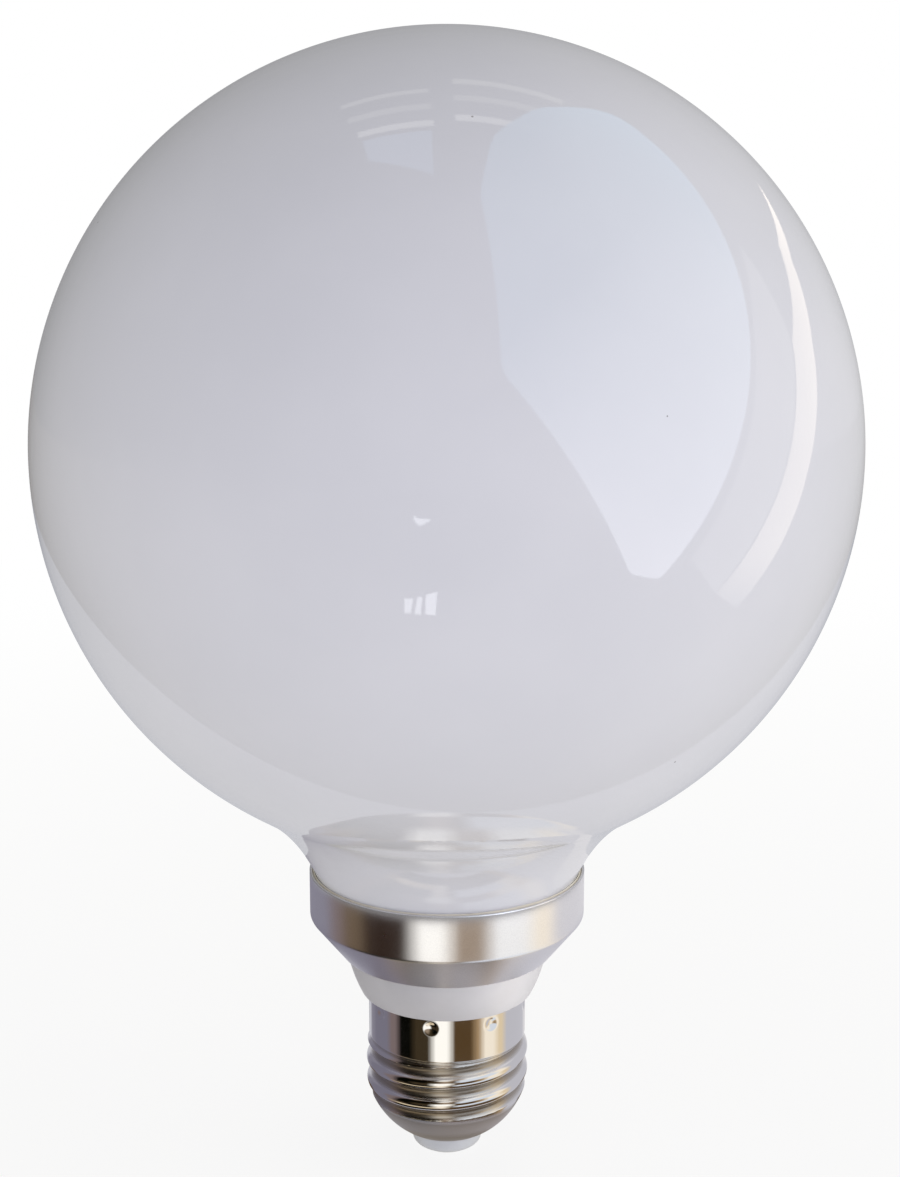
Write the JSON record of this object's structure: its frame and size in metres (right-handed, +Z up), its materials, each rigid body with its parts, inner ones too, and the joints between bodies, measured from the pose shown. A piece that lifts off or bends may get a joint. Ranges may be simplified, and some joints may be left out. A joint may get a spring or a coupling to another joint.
{
  "type": "globe lamp bulb",
  "caption": "Large opal-white globe lamp bulb on a satin metal collar, with a white moulded neck and a nickel-plated screw cap that carries it and feeds it.",
  "frame": {"origin": "middle of the contact's end face, at the bottom of the screw cap, where the lamp meets its holder's spring", "axes": "+Z up the lamp's axis from the cap to the globe; -Y faces the viewer of the picture"},
  "size_m": [0.125, 0.125, 0.1773],
  "materials": {
    "opal_glass": "glossy opal white, can't be seen into",
    "cream_adhesive": "matte cured adhesive",
    "satin_aluminium": "fine-turned satin",
    "white_moulding": "satin moulded white",
    "nickel_plate": "polished nickel plate, slightly warm",
    "tip_moulding": "satin moulded white",
    "contact_metal": "plain plated metal"
  },
  "bodies": {
    "root": {"globe": "opal_glass", "seal_bead": "cream_adhesive", "collar": "satin_aluminium", "neck_insulator": "white_moulding", "screw_shell": "nickel_plate", "tip_insulator": "tip_moulding", "centre_contact": "contact_metal"}
  },
  "joints": []
}
